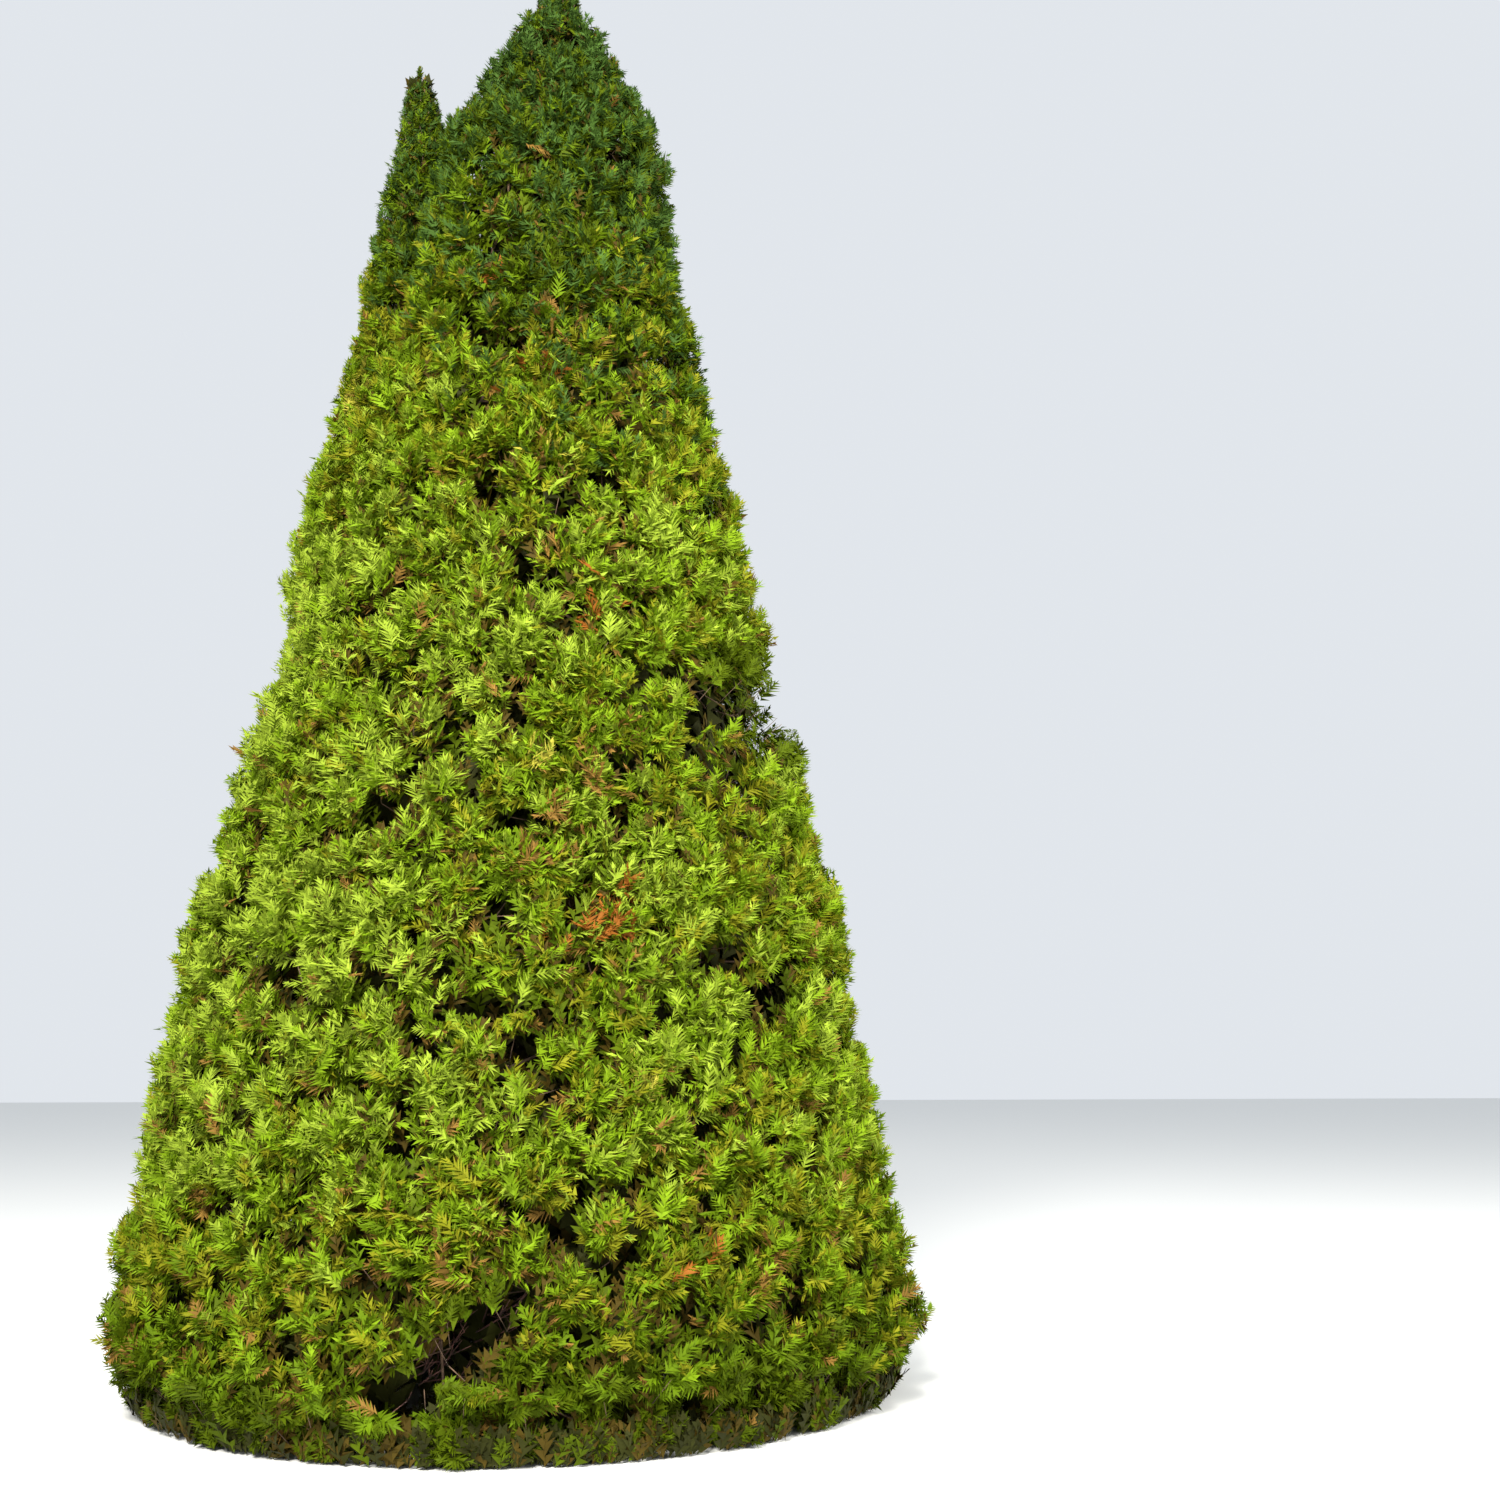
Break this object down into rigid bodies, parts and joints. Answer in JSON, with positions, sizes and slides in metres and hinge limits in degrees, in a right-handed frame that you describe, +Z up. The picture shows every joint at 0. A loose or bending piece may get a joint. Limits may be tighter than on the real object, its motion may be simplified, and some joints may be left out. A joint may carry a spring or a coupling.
{
  "type": "juniper tree",
  "caption": "Dense conical evergreen tree with twin leaders, fan-like green sprays down to the ground and a flared trunk inside.",
  "frame": {"origin": "centre of the flat cut under the trunk, at ground level", "axes": "+Z up along the trunk; the picture looks along +Y, with the second leader on the left, towards -X"},
  "size_m": [4.009, 3.9189, 8.04],
  "materials": {
    "bark": "rough fibrous bark, matte",
    "foliage": "fine scale-leaved sprays, softly matte"
  },
  "bodies": {
    "root": {"trunk": "bark", "second_leader": "bark", "bough_skirt_1": "bark", "bough_skirt_2": "bark", "bough_skirt_3": "bark", "bough_skirt_4": "bark", "bough_skirt_5": "bark", "bough_skirt_6": "bark", "bough_skirt_7": "bark", "bough_lower_1": "bark", "bough_lower_2": "bark", "bough_lower_3": "bark", "bough_lower_4": "bark", "bough_lower_5": "bark", "bough_lower_6": "bark", "bough_lower_7": "bark", "bough_middle_1": "bark", "bough_middle_2": "bark", "bough_middle_3": "bark", "bough_middle_4": "bark", "bough_middle_5": "bark", "bough_middle_6": "bark", "foliage_skirt_1": "foliage", "foliage_skirt_2": "foliage", "foliage_skirt_3": "foliage", "foliage_skirt_4": "foliage", "foliage_skirt_5": "foliage", "foliage_skirt_6": "foliage", "foliage_skirt_7": "foliage", "foliage_lower_1": "foliage", "foliage_lower_2": "foliage", "foliage_lower_3": "foliage", "foliage_lower_4": "foliage", "foliage_lower_5": "foliage", "foliage_lower_6": "foliage", "foliage_lower_7": "foliage", "foliage_middle_1": "foliage", "foliage_middle_2": "foliage", "foliage_middle_3": "foliage", "foliage_middle_4": "foliage", "foliage_middle_5": "foliage", "foliage_middle_6": "foliage", "foliage_upper_1": "foliage", "foliage_upper_2": "foliage", "foliage_upper_3": "foliage", "foliage_upper_4": "foliage", "foliage_upper_5": "foliage", "foliage_high_1": "foliage", "foliage_high_2": "foliage", "foliage_high_3": "foliage", "foliage_high_4": "foliage", "foliage_shoulder_1": "foliage", "foliage_shoulder_2": "foliage", "foliage_shoulder_3": "foliage", "foliage_top": "foliage", "foliage_leader_1": "foliage", "foliage_leader_2": "foliage", "foliage_leader_3": "foliage"}
  },
  "joints": []
}
